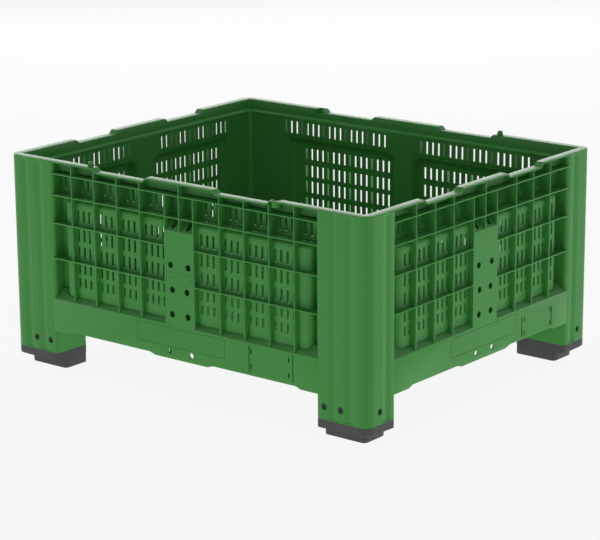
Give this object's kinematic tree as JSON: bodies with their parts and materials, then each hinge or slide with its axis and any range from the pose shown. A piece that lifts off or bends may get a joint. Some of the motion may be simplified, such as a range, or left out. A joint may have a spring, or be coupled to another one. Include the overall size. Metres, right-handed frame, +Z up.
{
  "type": "pallet box",
  "caption": "Green ventilated plastic pallet box on four capped legs, with slotted and ribbed walls, a dipped rim, stacking knobs and pockets, and fork entry from all four sides.",
  "frame": {"origin": "on the ground under the middle of the box, at the soles of the foot caps", "axes": "X runs along the long walls, the front wall faces -Y, Z is up"},
  "size_m": [1.2, 1, 0.592],
  "materials": {
    "green_plastic": "satin moulded",
    "cap_plastic": "matt moulded",
    "screw_steel": "dark zinc plated"
  },
  "bodies": {
    "root": {"front_wall": "green_plastic", "back_wall": "green_plastic", "right_wall": "green_plastic", "left_wall": "green_plastic", "floor_deck": "green_plastic", "corner_post_front_right": "green_plastic", "corner_post_front_left": "green_plastic", "corner_post_back_left": "green_plastic", "corner_post_back_right": "green_plastic", "foot_cap_front_right": "cap_plastic", "foot_cap_front_left": "cap_plastic", "foot_cap_back_left": "cap_plastic", "foot_cap_back_right": "cap_plastic", "foot_screw_1_front_right": "screw_steel", "foot_screw_1_front_left": "screw_steel", "foot_screw_1_back_left": "screw_steel", "foot_screw_1_back_right": "screw_steel", "foot_screw_2_front_right": "screw_steel", "foot_screw_2_front_left": "screw_steel", "foot_screw_2_back_left": "screw_steel", "foot_screw_2_back_right": "screw_steel", "foot_screw_3_front_right": "screw_steel", "foot_screw_3_front_left": "screw_steel", "foot_screw_3_back_left": "screw_steel", "foot_screw_3_back_right": "screw_steel"}
  },
  "joints": []
}
